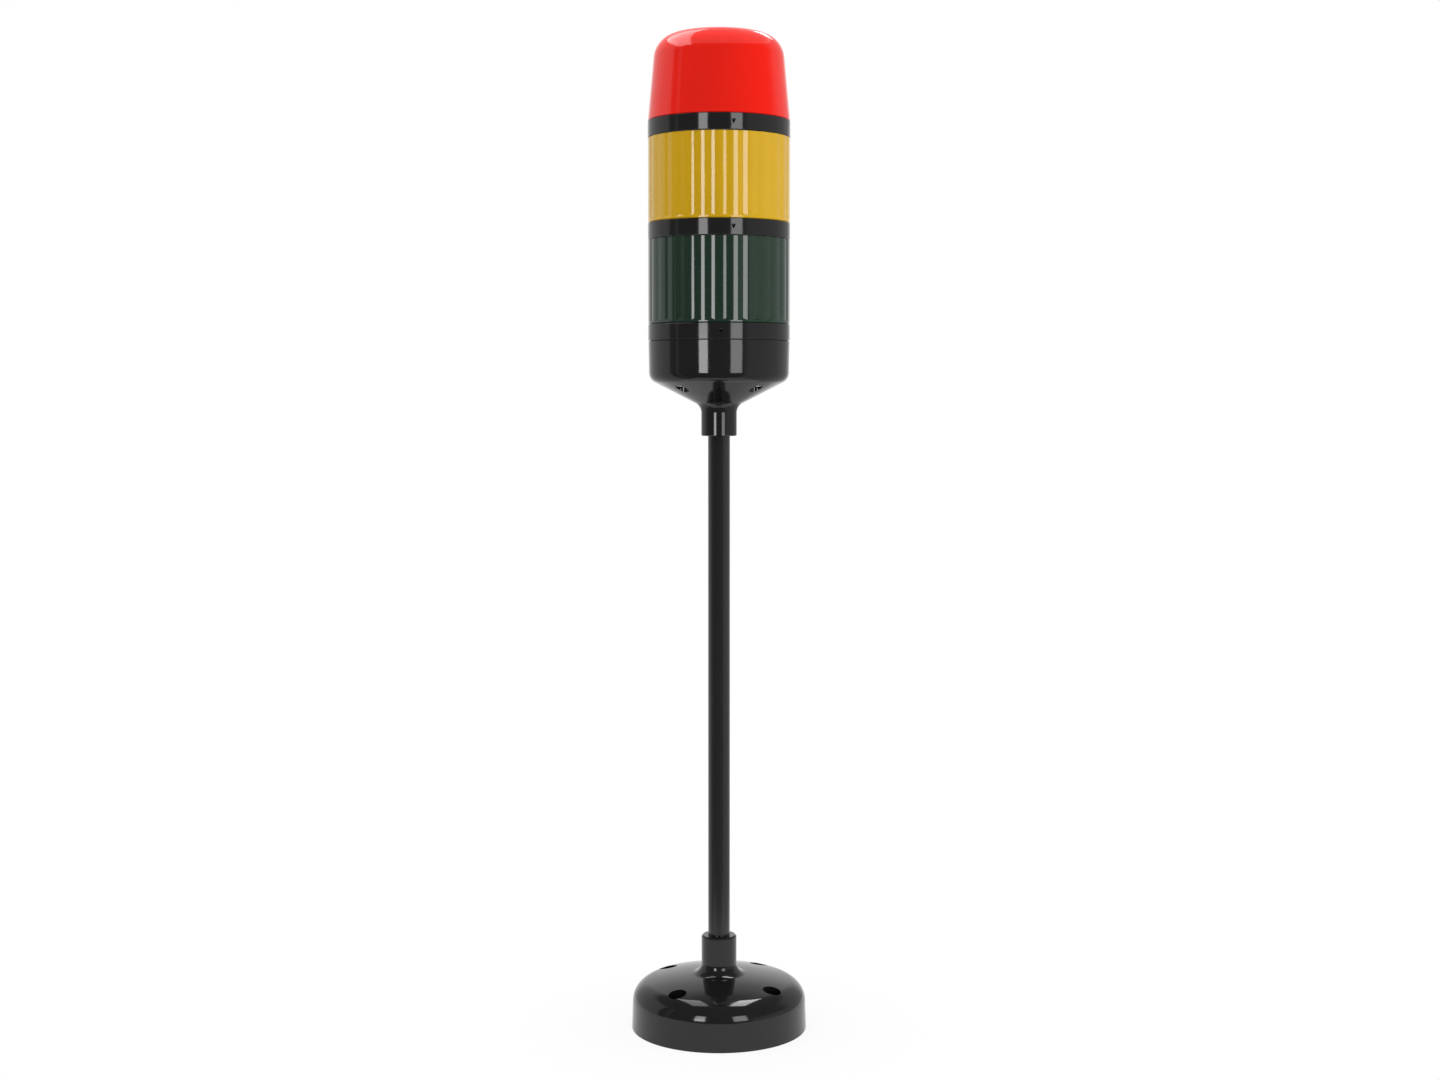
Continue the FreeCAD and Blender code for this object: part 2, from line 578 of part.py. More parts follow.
def contact_via(track, bottom, top):
    """Leg of a contact through a deck or floor."""
    radius = TRACK_RADII[track]
    return bar(STRIP_WIDTH, radius - STRIP_THICKNESS / 2, radius + STRIP_THICKNESS / 2,
               bottom, top, REAR + RISER_ANGLES[track])


def contact_tail(track, seam):
    """Lower end of a contact: it comes down to just over the pad below."""
    radius = TRACK_RADII[track]
    tail_bottom = seam + PAD_THICKNESS + PAD_GAP
    plate_top = seam + PLATE_TOP
    leg = bar(STRIP_WIDTH, radius - STRIP_THICKNESS / 2, radius + STRIP_THICKNESS / 2,
              tail_bottom, plate_top + STRIP_THICKNESS, REAR)
    riser = RISER_ANGLES[track]
    run = band(radius - STRIP_WIDTH / 2, radius + STRIP_WIDTH / 2,
               plate_top, plate_top + STRIP_THICKNESS,
               REAR + min(0, riser), REAR + max(0, riser))
    return [leg, run]


def make_contacts(seam, next_seam):
    """Brass strips of a module: tails below, risers up the post, pads for the module above."""
    strips = []
    plate_top = seam + PLATE_TOP
    half = STRIP_WIDTH / 2
    for track, radius in enumerate(TRACK_RADII):
        azimuth = REAR + RISER_ANGLES[track]
        pieces = contact_tail(track, seam)
        feeds_lamp = track >= TRACK_COUNT - FEED_COUNT
        if next_seam is None and not feeds_lamp:
            continue
        if feeds_lamp:
            feed = REAR if track == TRACK_COUNT - 1 else azimuth
            pieces.append(bar(STRIP_WIDTH, SOCKET_RADIUS, radius,
                              plate_top, plate_top + STRIP_THICKNESS, feed))
        if next_seam is not None:
            deck_bottom = next_seam - DECK_THICKNESS
            pieces.append(bar(STRIP_WIDTH, radius - half, POST_FACE_RADIUS,
                              plate_top, plate_top + STRIP_THICKNESS, azimuth))
            pieces.append(bar(STRIP_WIDTH, POST_FACE_RADIUS - STRIP_THICKNESS, POST_FACE_RADIUS,
                              plate_top, deck_bottom, azimuth))
            pieces.append(bar(STRIP_WIDTH, radius - STRIP_THICKNESS / 2, POST_FACE_RADIUS,
                              deck_bottom - STRIP_THICKNESS, deck_bottom, azimuth))
            pieces.append(contact_via(track, deck_bottom - STRIP_THICKNESS, next_seam))
            pieces.append(contact_pad(track, next_seam))
        strips.append(joined(pieces))
    return strips


# ---- terminal carrier ----
def contact_deck(bottom, seam):
    """Sector under the contact pads, behind the lamp."""
    return band(DECK_INNER_RADIUS, POST_RADIUS, bottom, seam, REAR + DECK_START, REAR + DECK_END)


def pole_offset(track):
    """Place along X of the terminal that feeds a track: the outer tracks take the outer terminals."""
    steps = (TRACK_COUNT - 1) / 2 - track // 2
    side = polar(TRACK_RADII[track], REAR + RISER_ANGLES[track]).x
    return math.copysign(steps * POLE_PITCH, side)


def make_housing_contacts():
    """Brass straps from the terminal block, under the carrier's floor, to the first pads."""
    underside = CARRIER_BOTTOM - STRIP_THICKNESS
    half = STRIP_WIDTH / 2
    tab_line = -BLOCK_FRONT + TAB_INSET
    straps = []
    for track, radius in enumerate(TRACK_RADII):
        via = polar(radius, REAR + RISER_ANGLES[track])
        pole = pole_offset(track)
        low_x, high_x = sorted((via.x, pole))
        across = Part.makeBox(high_x - low_x + STRIP_WIDTH, STRIP_WIDTH, STRIP_THICKNESS,
                              Vector(low_x - half, via.y - half, underside))
        along = Part.makeBox(STRIP_WIDTH, via.y - tab_line + half, STRIP_THICKNESS,
                             Vector(pole - half, tab_line, underside))
        tab = Part.makeBox(STRIP_WIDTH, STRIP_THICKNESS, CARRIER_FLOOR + WIRE_ENTRY_HEIGHT,
                           Vector(pole - half, tab_line, CARRIER_BOTTOM))
        leg = contact_via(track, underside, HOUSING_TOP)
        straps.append(joined([across, along, tab, leg, contact_pad(track, HOUSING_TOP)]))
    return straps


def make_terminal_carrier(contacts):
    """Moulded floor and first twist-lock neck, screwed down inside the housing."""
    floor = disc(LOCK_RADIUS, CARRIER_BOTTOM, CARRIER_TOP)
    neck = lock_neck(HOUSING_TOP, CARRIER_BOTTOM)
    deck = contact_deck(CARRIER_BOTTOM, HOUSING_TOP)
    sleeves = []
    holes = [disc(WIRE_HOLE_RADIUS, CARRIER_BOTTOM, CARRIER_TOP, Vector(-WIRE_HOLE_OFFSET, 0, 0))]
    for centre in screw_centres():
        sleeves.append(disc(CARRIER_SCREW_RADIUS + SCREW_SLEEVE_WALL, CARRIER_BOTTOM, SLEEVE_TOP, centre))
        holes.append(disc(CARRIER_SCREW_RADIUS, CARRIER_BOTTOM, SLEEVE_TOP, centre))
    return carved(joined([floor, neck, deck] + sleeves), holes + contacts)


def make_terminal_block(contacts):
    """Screw terminals at the front of the carrier, with wire entries and screw wells."""
    length = TRACK_COUNT * POLE_PITCH + 2 * BLOCK_END_WALL
    block = Part.makeBox(length, BLOCK_DEPTH, BLOCK_HEIGHT, Vector(-length / 2, -BLOCK_FRONT, CARRIER_TOP))
    screw_line = -BLOCK_FRONT + TERMINAL_SCREW_INSET
    well_bottom = BLOCK_TOP - TERMINAL_SCREW_SINK - TERMINAL_SCREW_HEIGHT
    holes = []
    for track in range(TRACK_COUNT):
        offset = pole_offset(track)
        entry = Vector(offset, -BLOCK_FRONT, CARRIER_TOP + WIRE_ENTRY_HEIGHT)
        holes.append(Part.makeCylinder(WIRE_ENTRY_RADIUS, TAB_INSET, entry, Vector(0, 1, 0)))
        holes.append(disc(TERMINAL_SCREW_RADIUS, well_bottom, BLOCK_TOP, Vector(offset, screw_line, 0)))
    return carved(block, holes + contacts)


def make_terminal_screws():
    """Slotted clamping screws of the terminal block."""
    screw_line = -BLOCK_FRONT + TERMINAL_SCREW_INSET
    top = BLOCK_TOP - TERMINAL_SCREW_SINK
    screws = []
    for track in range(TRACK_COUNT):
        offset = pole_offset(track)
        screw = disc(TERMINAL_SCREW_RADIUS, top - TERMINAL_SCREW_HEIGHT, top, Vector(offset, screw_line, 0))
        corner = Vector(offset - TERMINAL_SCREW_RADIUS, screw_line - TERMINAL_SLOT_WIDTH / 2,
                        top - TERMINAL_SLOT_DEPTH)
        slot = Part.makeBox(2 * TERMINAL_SCREW_RADIUS, TERMINAL_SLOT_WIDTH, TERMINAL_SLOT_DEPTH, corner)
        screws.append(screw.cut(slot))
    return screws


# ---- light modules ----
def notch(height):
    """Three-sided pyramid to cut a ring's downward mark with, its point inside the ring."""
    face_x = HEAD_RADIUS + CUT_OVERRUN
    spread = (MARK_DEPTH + CUT_OVERRUN) / MARK_DEPTH
    half_width = MARK_WIDTH / 2 * spread
    half_height = MARK_HEIGHT / 2 * spread
    corners = [
        Vector(face_x, -half_width, height + half_height),
        Vector(face_x, half_width, height + half_height),
        Vector(face_x, 0, height - half_height),
    ]
    point = Vector(HEAD_RADIUS - MARK_DEPTH, 0, height)
    sides = [Part.Face(Part.makePolygon([corners[i - 1], corners[i], point, corners[i - 1]]))
             for i in range(len(corners))]
    front = Part.Face(Part.makePolygon(corners + corners[:1]))
    return Part.Solid(Part.Shell(sides + [front]))


def make_ring(seam, mark_azimuth):
    """Black ring at the foot of a module: twist-lock slots below, seat of lens and lamp above."""
    bottom = seam + RUNNING_GAP
    top = seam + RING_HEIGHT
    flange_bottom = seam + FLANGE_BOTTOM
    seal_room = seam + SEAL_HEIGHT + RUNNING_GAP
    body = turned([
        (SLOT_RADIUS, bottom, 0),
        (HEAD_RADIUS - RING_CHAMFER, bottom, 0),
        (HEAD_RADIUS, bottom + RING_CHAMFER, 0),
        (HEAD_RADIUS, top - RING_CHAMFER, 0),
        (HEAD_RADIUS - RING_CHAMFER, top, 0),
        (RING_COLLAR_RADIUS, top, 0),
        (RING_COLLAR_RADIUS, seam + COLLAR_TOP, 0),
        (RING_COLLAR_RADIUS - COLLAR_WALL, seam + COLLAR_TOP, 0),
        (RING_COLLAR_RADIUS - COLLAR_WALL, seam + PLATE_BOTTOM, 0),
        (RING_BORE_RADIUS - FLANGE_REACH, seam + PLATE_BOTTOM, 0),
        (RING_BORE_RADIUS - FLANGE_REACH, flange_bottom, 0),
        (RING_BORE_RADIUS, flange_bottom, 0),
        (RING_BORE_RADIUS, seal_room, 0),
        (SLOT_RADIUS, seal_room, 0),
    ])
    mark = notch(seam + RING_HEIGHT / 2)
    mark = mark.rotate(Vector(0, 0, 0), Z_AXIS, FRONT + mark_azimuth)
    return carved(body, lock_slots(seam) + [mark])


def fluted_prism(bottom, top):
    """Upright prism whose side ripples in shallow flutes: tangent arcs, broad crest and narrow valley."""
    pitch = 360.0 / FLUTE_COUNT
    crest_half = pitch / 2 * FLUTE_CREST_SHARE
    meeting_radius = LENS_RADIUS - FLUTE_DEPTH * FLUTE_CREST_SHARE
    edges = []
    for crest in around(FLUTE_COUNT, FRONT):
        rise = polar(meeting_radius, crest - crest_half, bottom)
        fall = polar(meeting_radius, crest + crest_half, bottom)
        next_rise = polar(meeting_radius, crest + pitch - crest_half, bottom)
        edges.append(Part.Arc(rise, polar(LENS_RADIUS, crest, bottom), fall).toShape())
        valley = polar(LENS_RADIUS - FLUTE_DEPTH, crest + pitch / 2, bottom)
        edges.append(Part.Arc(fall, valley, next_rise).toShape())
    return Part.Face(Part.Wire(edges)).extrude(Vector(0, 0, top - bottom))


def make_fluted_lens(seam, next_seam):
    """Coloured fluted tube with the twist-lock neck for the module above."""
    bottom = seam + RING_HEIGHT
    band_top = bottom + LENS_BASE_BAND
    runout_radius = LENS_RADIUS - FLUTE_DEPTH
    flutes = fluted_prism(band_top, next_seam)
    base_band = turned([
        (0, bottom, 0),
        (LENS_RADIUS - LENS_FOOT_CHAMFER, bottom, 0),
        (LENS_RADIUS, bottom + LENS_FOOT_CHAMFER, 0),
        (LENS_RADIUS, band_top, 0),
        (runout_radius, band_top + FLUTE_RUNOUT, 0),
        (0, band_top + FLUTE_RUNOUT, 0),
    ])
    bore = disc(LENS_BORE_RADIUS, bottom, next_seam - LENS_SHOULDER)
    neck_bore = disc(LOCK_BORE_RADIUS, bottom, next_seam)
    wall = carved(flutes.fuse(base_band), [bore, neck_bore])
    return joined([wall, lock_neck(next_seam, next_seam - LENS_SHOULDER)])


def make_dome(seam):
    """Smooth tapered cap of the top module, seated over the collar of its ring."""
    bottom = seam + RING_HEIGHT
    top = bottom + DOME_HEIGHT
    outside = crowned_drum(LENS_RADIUS, DOME_DRAFT, bottom, top, DOME_CROWN_RADIUS, DOME_ROUNDING)
    inside = crowned_drum(LENS_RADIUS - DOME_WALL, DOME_DRAFT, bottom, top - DOME_WALL,
                          DOME_CROWN_RADIUS - DOME_WALL, DOME_ROUNDING - DOME_WALL)
    collar_seat = disc(LENS_BORE_RADIUS, bottom, seam + COLLAR_TOP + PRESS_GAP)
    foot_edge = turned([
        (LENS_RADIUS - LENS_FOOT_CHAMFER, bottom, 0),
        (LENS_RADIUS + CUT_OVERRUN, bottom, 0),
        (LENS_RADIUS + CUT_OVERRUN, bottom + LENS_FOOT_CHAMFER + CUT_OVERRUN, 0),
    ])
    return carved(outside, [inside, collar_seat, foot_edge])


def make_lamp_holder(seam, next_seam, contacts):
    """Plate with the lamp's bayonet socket, and a post that carries the contacts up."""
    bottom = seam + PLATE_BOTTOM
    plate = disc(PLATE_RADIUS, bottom, seam + PLATE_TOP)
    socket = disc(SOCKET_RADIUS, seam + SOCKET_BOTTOM, seam + SOCKET_TOP)
    solids = [plate, socket]
    if next_seam is not None:
        deck_bottom = next_seam - DECK_THICKNESS
        solids.append(band(POST_FACE_RADIUS, POST_RADIUS, bottom, deck_bottom,
                           REAR + DECK_START, REAR + DECK_END))
        solids.append(contact_deck(deck_bottom, next_seam))
    floor_top = seam + SOCKET_BOTTOM + SOCKET_FLOOR
    cuts = [disc(SOCKET_BORE_RADIUS, floor_top, seam + SOCKET_TOP)]
    slot_bottom = seam + LOCK_SLOT_BOTTOM
    half_angle = math.degrees(math.asin(LOCK_SLOT_WIDTH / 2 / SOCKET_BORE_RADIUS))
    cut_inner = SOCKET_BORE_RADIUS - CUT_OVERRUN
    cut_outer = SOCKET_RADIUS + CUT_OVERRUN
    for azimuth in around(2):
        cuts.append(bar(LOCK_SLOT_WIDTH, cut_inner, cut_outer,
                        slot_bottom, seam + SOCKET_TOP, azimuth + LOCK_SLOT_TURN))
        cuts.append(band(cut_inner, cut_outer, slot_bottom, slot_bottom + LOCK_SLOT_WIDTH,
                         azimuth - half_angle, azimuth + LOCK_SLOT_TURN + half_angle))
    for side in (-1, 1):
        cuts.append(disc(LAMP_CONTACT_RADIUS, seam + SOCKET_BOTTOM, floor_top,
                         Vector(side * LAMP_CONTACT_OFFSET, 0, 0)))
    return carved(joined(solids), cuts + contacts)


def make_lamp_contacts(seam):
    """Pair of brass studs in the floor of the socket, under the lamp's foot."""
    return [disc(LAMP_CONTACT_RADIUS, seam + SOCKET_BOTTOM, seam + LAMP_BOTTOM,
                 Vector(side * LAMP_CONTACT_OFFSET, 0, 0)) for side in (-1, 1)]


def make_lamp(seam):
    """Sealed lamp: a capped body with a round nose and two locking pins."""
    bottom = seam + LAMP_BOTTOM
    cap_top = seam + LAMP_CAP_TOP
    top = bottom + LAMP_HEIGHT
    body = turned([
        (0, bottom, 0),
        (LAMP_CAP_RADIUS - LAMP_FOOT_CHAMFER, bottom, 0),
        (LAMP_CAP_RADIUS, bottom + LAMP_FOOT_CHAMFER, 0),
        (LAMP_CAP_RADIUS, cap_top, 0),
        (LAMP_RADIUS, cap_top, 0),
        (LAMP_RADIUS, top, LAMP_NOSE_ROUNDING),
        (0, top, 0),
    ])
    reach = LAMP_CAP_RADIUS + LAMP_PIN_REACH
    centre = Vector(-reach, 0, seam + LOCK_SLOT_BOTTOM + LOCK_SLOT_WIDTH / 2)
    pins = Part.makeCylinder(LAMP_PIN_RADIUS, 2 * reach, centre, Vector(1, 0, 0))
    return joined([body, pins])


def make_module(colour, mark_azimuth, seam, next_seam):
    """Every piece of one light module, by name."""
    contacts = make_contacts(seam, next_seam)
    lens = make_dome(seam) if next_seam is None else make_fluted_lens(seam, next_seam)
    return {
        colour + "_ring": make_ring(seam, mark_azimuth),
        colour + "_lens": lens,
        colour + "_lamp_holder": make_lamp_holder(seam, next_seam, contacts),
        colour + "_contacts": contacts,
        colour + "_lamp_contacts": make_lamp_contacts(seam),
        colour + "_lamp": make_lamp(seam),
        colour + "_seal": make_seal(seam),
    }


def make_tower():
    """Every piece of the tower, by name; a group of loose like pieces is a list."""
    housing_contacts = make_housing_contacts()
    pieces = {
        "foot": make_foot(),
        "foot_gasket": make_foot_gasket(),
        "tube": make_tube(),
        "foot_washer": make_washer(FOOT_WEB_BOTTOM - WASHER_THICKNESS),
        "foot_nut": make_nut(FOOT_WEB_BOTTOM - WASHER_THICKNESS - NUT_HEIGHT),
        "head_washer": make_washer(HEAD_WEB_TOP),
        "head_nut": make_nut(HEAD_WEB_TOP + WASHER_THICKNESS),
        "housing": make_housing(),
        "carrier_screws": make_carrier_screws(),
        "terminal_carrier": make_terminal_carrier(housing_contacts),
        "terminal_block": make_terminal_block(housing_contacts),
        "terminal_screws": make_terminal_screws(),
        "housing_contacts": housing_contacts,
    }
    for level, (colour, mark_azimuth) in enumerate(MODULES):
        seam = HOUSING_TOP + level * MODULE_PITCH
        next_seam = seam + MODULE_PITCH if level + 1 < len(MODULES) else None
        pieces.update(make_module(colour, mark_azimuth, seam, next_seam))
    return pieces


def save(name, piece):
    """Write one piece, or one group of like pieces, as a STEP file."""
    shape = Part.makeCompound(piece) if isinstance(piece, list) else piece
    shape.exportStep("parts/" + name + ".step")
    print(name, len(shape.Solids), "solids", round(shape.Volume, 1), "mm3", shape.isValid())


os.makedirs("parts", exist_ok=True)
for piece_name, made in make_tower().items():
    save(piece_name, made)
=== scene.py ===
"""Looks of the signal tower: the finish of every piece, the studio and the camera.

Metres and degrees.  +Z is up, the origin is the middle of the foot's underside,
and the front is -Y.
"""
import json
import math

import bpy
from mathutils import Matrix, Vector


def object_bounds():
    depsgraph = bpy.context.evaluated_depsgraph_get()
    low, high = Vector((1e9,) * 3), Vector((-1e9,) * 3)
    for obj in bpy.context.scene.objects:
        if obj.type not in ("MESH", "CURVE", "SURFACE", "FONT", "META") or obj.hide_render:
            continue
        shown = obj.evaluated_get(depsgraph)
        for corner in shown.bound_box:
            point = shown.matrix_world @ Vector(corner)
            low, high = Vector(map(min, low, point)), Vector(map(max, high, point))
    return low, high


MM = 0.001

# ---- brightness of the room, as the glossy parts see it; 1 is plain white ----
FRONT_LEVEL = 0.2
RIGHT_LEVEL = 0.54
LEFT_LEVEL = 0.7
SLAT_LEVEL = 0.45
BACK_LEVEL = 1.0
CEILING_LEVEL = 0.2

# ---- softboxes: upright, all at one distance from the tower ----
SOFTBOX_DISTANCE = 1.25
SOFTBOX_BOTTOM = 0.10
SOFTBOX_SPLIT = 0.385          # the left one has a brighter lower part
SOFTBOX_TOP = 0.72

# ---- table ----
TABLE_REACH = 0.2              # from the middle to each side
TABLE_DROP = 0.05 * MM         # below the foot, so that the two faces don't coincide
SHADE_START = 0.04             # distance from the middle where the shade is deepest
SHADE_END = 0.11               # and where it has died out
SHADE_WHITE = 0.9              # share of plain white where it is deepest

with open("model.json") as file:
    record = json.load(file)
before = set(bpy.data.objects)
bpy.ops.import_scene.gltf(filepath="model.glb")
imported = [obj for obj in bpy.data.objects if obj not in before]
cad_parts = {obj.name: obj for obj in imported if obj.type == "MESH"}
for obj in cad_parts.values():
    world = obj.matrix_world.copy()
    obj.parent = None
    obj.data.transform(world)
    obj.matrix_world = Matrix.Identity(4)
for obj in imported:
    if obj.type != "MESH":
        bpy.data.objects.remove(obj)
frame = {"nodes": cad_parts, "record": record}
bpy.context.view_layer.update()
cad_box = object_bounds()


# ---- node building ----
class Finish:
    """A material under construction, whose patterns follow the piece's own coordinates."""

    def __init__(self, name):
        self.material = bpy.data.materials.new(name)
        self.material.use_nodes = True
        self.tree = self.material.node_tree
        self.tree.nodes.clear()
        self.shader = self.node("ShaderNodeBsdfPrincipled")
        output = self.node("ShaderNodeOutputMaterial")
        self.link(self.shader.outputs["BSDF"], output.inputs["Surface"])
        self.place = self.node("ShaderNodeTexCoord").outputs["Object"]
        self.normal = None

    def node(self, kind, **settings):
        made = self.tree.nodes.new(kind)
        for name, value in settings.items():
            setattr(made, name, value)
        return made

    def link(self, source, target):
        self.tree.links.new(source, target)

    def set(self, **values):
        """Constants on the shader's own sockets; _ in a name stands for a space."""
        for name, value in values.items():
            self.shader.inputs[name.replace("_", " ")].default_value = value

    def stretched(self, stretch):
        """Coordinates divided by a stretch along each axis."""
        mapping = self.node("ShaderNodeMapping")
        mapping.inputs["Scale"].default_value = [1 / part for part in stretch]
        self.link(self.place, mapping.inputs["Vector"])
        return mapping.outputs["Vector"]

    def noise(self, size, detail=3.0, rough=0.5, stretch=(1, 1, 1)):
        """Cloudy pattern, 0 to 1, whose blotches are about `size` across."""
        made = self.node("ShaderNodeTexNoise")
        made.inputs["Scale"].default_value = 1 / size
        made.inputs["Detail"].default_value = detail
        made.inputs["Roughness"].default_value = rough
        self.link(self.stretched(stretch), made.inputs["Vector"])
        return made.outputs["Fac"]

    def ranged(self, value, low, high, start=0.3, stop=0.7):
        """The value's span from start to stop, spread over low to high."""
        made = self.node("ShaderNodeMapRange")
        limits = (("From Min", start), ("From Max", stop), ("To Min", low), ("To Max", high))
        for name, number in limits:
            made.inputs[name].default_value = number
        self.link(value, made.inputs["Value"])
        return made.outputs["Result"]

    def tones(self, value, first, second):
        """Colour between two tones."""
        made = self.node("ShaderNodeMix", data_type="RGBA")
        colours = [socket for socket in made.inputs if socket.type == "RGBA"]
        colours[0].default_value = (*first, 1)
        colours[1].default_value = (*second, 1)
        self.link(value, made.inputs["Factor"])
        return [socket for socket in made.outputs if socket.type == "RGBA"][0]

    def bump(self, height, depth):
        """Relief of a given depth, on top of what is there already."""
        made = self.node("ShaderNodeBump")
        made.inputs["Distance"].default_value = depth
        made.inputs["Strength"].default_value = 1.0
        self.link(height, made.inputs["Height"])
        if self.normal is not None:
            self.link(self.normal, made.inputs["Normal"])
        self.normal = made.outputs["Normal"]
        self.link(self.normal, self.shader.inputs["Normal"])

    def colour(self, value):
        self.link(value, self.shader.inputs["Base Color"])

    def roughness(self, value):
        self.link(value, self.shader.inputs["Roughness"])


def scaled(colour, factor):
    """The colour made lighter or darker."""
    return tuple(part * factor for part in colour)


# ---- finishes ----
def moulded_plastic(name, colour, roughness, tone_spread=0.12, wave_depth=0.02 * MM,
                    grain_depth=0.0, index=1.5):
    """Moulded plastic: cloudy tone, uneven polish, and the mould's waves and grain where asked."""
    finish = Finish(name)
    cloud = finish.noise(14 * MM)
    darker, lighter = scaled(colour, 1 - tone_spread), scaled(colour, 1 + tone_spread)
    finish.colour(finish.tones(cloud, darker, lighter))
    polish = finish.noise(5 * MM, detail=6.0, rough=0.65)
    finish.roughness(finish.ranged(polish, roughness * 0.8, roughness * 1.25))
    if wave_depth:
        finish.bump(finish.noise(9 * MM, detail=1.0), wave_depth)
    if grain_depth:
        finish.bump(finish.noise(0.35 * MM, detail=2.0), grain_depth)
    finish.set(IOR=index)
    return finish


def lens_plastic(name, colour, roughness, glow, index=1.585):
    """Tinted translucent plastic, polished: light goes a little way in and comes out nearby."""
    finish = moulded_plastic(name, colour, roughness, tone_spread=0.04, wave_depth=0)
    finish.set(IOR=index, Subsurface_Weight=glow, Subsurface_Radius=(1.0, 0.6, 0.4),
               Subsurface_Scale=2 * MM)
    return finish.material


def painted_steel(name, colour):
    """Satin paint on drawn tube: fine orange peel, and faint streaks along the tube."""
    finish = Finish(name)
    cloud = finish.noise(11 * MM)
    finish.colour(finish.tones(cloud, scaled(colour, 0.88), scaled(colour, 1.12)))
    streaks = finish.noise(2.5 * MM, detail=4.0, stretch=(1, 1, 25))
    finish.roughness(finish.ranged(streaks, 0.17, 0.22))
    finish.bump(finish.noise(2.5 * MM, detail=1.0), 0.003 * MM)
    finish.set(IOR=1.5)
    return finish.material


def plated_steel(name):
    """Zinc-plated steel: bright, with a slightly blotchy passivation."""
    finish = Finish(name)
    cloud = finish.noise(3 * MM, detail=5.0)
    finish.colour(finish.tones(cloud, (0.50, 0.51, 0.53), (0.62, 0.62, 0.60)))
    finish.roughness(finish.ranged(finish.noise(1.2 * MM), 0.38, 0.5))
    finish.bump(finish.noise(0.5 * MM), 0.004 * MM)
    finish.set(Metallic=1.0)
    return finish.material


def stamped_brass(name):
    """Rolled brass strip with the grain of the rolls."""
    finish = Finish(name)
    cloud = finish.noise(2 * MM, detail=4.0)
    finish.colour(finish.tones(cloud, (0.66, 0.47, 0.20), (0.78, 0.60, 0.30)))
    rolled = finish.noise(0.3 * MM, detail=3.0, stretch=(1, 1, 12))
    finish.roughness(finish.ranged(rolled, 0.22, 0.34))
    finish.bump(rolled, 0.004 * MM)
    finish.set(Metallic=1.0)
    return finish.material


def soft_rubber(name):
    """Black rubber: dull, finely pitted."""
    finish = Finish(name)
    cloud = finish.noise(4 * MM)
    finish.colour(finish.tones(cloud, (0.018, 0.018, 0.018), (0.03, 0.03, 0.03)))
    finish.roughness(finish.ranged(finish.noise(1 * MM), 0.6, 0.75))
    finish.bump(finish.noise(0.25 * MM, detail=3.0), 0.02 * MM)
    return finish.material


def make_finishes():
    """One material for each slot of the record."""
    return {
        "black_plastic": moulded_plastic("gloss_black", (0.0075, 0.0075, 0.008), 0.08,
                                         index=1.46).material,
        "inner_black_plastic": moulded_plastic("satin_black", (0.014, 0.014, 0.015), 0.4,
                                               grain_depth=0.01 * MM).material,
        "black_paint": painted_steel("satin_paint", (0.022, 0.022, 0.0228)),
        "zinc_steel": plated_steel("zinc_plate"),
        "rubber": soft_rubber("seal_rubber"),
        "grey_plastic": moulded_plastic("terminal_grey", (0.36, 0.37, 0.38), 0.45,
                                        grain_depth=0.008 * MM).material,
        "white_plastic": moulded_plastic("holder_white", (0.70, 0.70, 0.67), 0.4,
                                         grain_depth=0.008 * MM).material,
        "brass": stamped_brass("contact_brass"),
        "lamp_white": moulded_plastic("lamp_body", (0.78, 0.78, 0.74), 0.22).material,
        "green_lens": lens_plastic("green_lens_plastic", (0.006, 0.024, 0.012), 0.08, 0.1),
        "yellow_lens": lens_plastic("yellow_lens_plastic", (0.585, 0.34, 0.001), 0.08, 0.12),
        "red_lens": lens_plastic("red_lens_plastic", (0.76, 0.008, 0.001), 0.08, 0.12, index=1.53),
    }


def dress_parts(finishes):
    """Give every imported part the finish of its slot."""
    for part in frame["record"]["subparts"]:
        slots = frame["nodes"][part["node"]].material_slots
        for slot in slots:
            slot.material = finishes[part["material_slot"]]


# ---- studio ----
def background_rays(tree, *others):
    """1 for the camera's rays and the other kinds named, 0 for the rays that light things."""
    ray = tree.nodes.new("ShaderNodeLightPath")
    seen = ray.outputs["Is Camera Ray"]
    for kind in others:
        either = tree.nodes.new("ShaderNodeMath")
        either.operation = "MAXIMUM"
        tree.links.new(seen, either.inputs[0])
        tree.links.new(ray.outputs[kind], either.inputs[1])
        seen = either.outputs["Value"]
    return seen


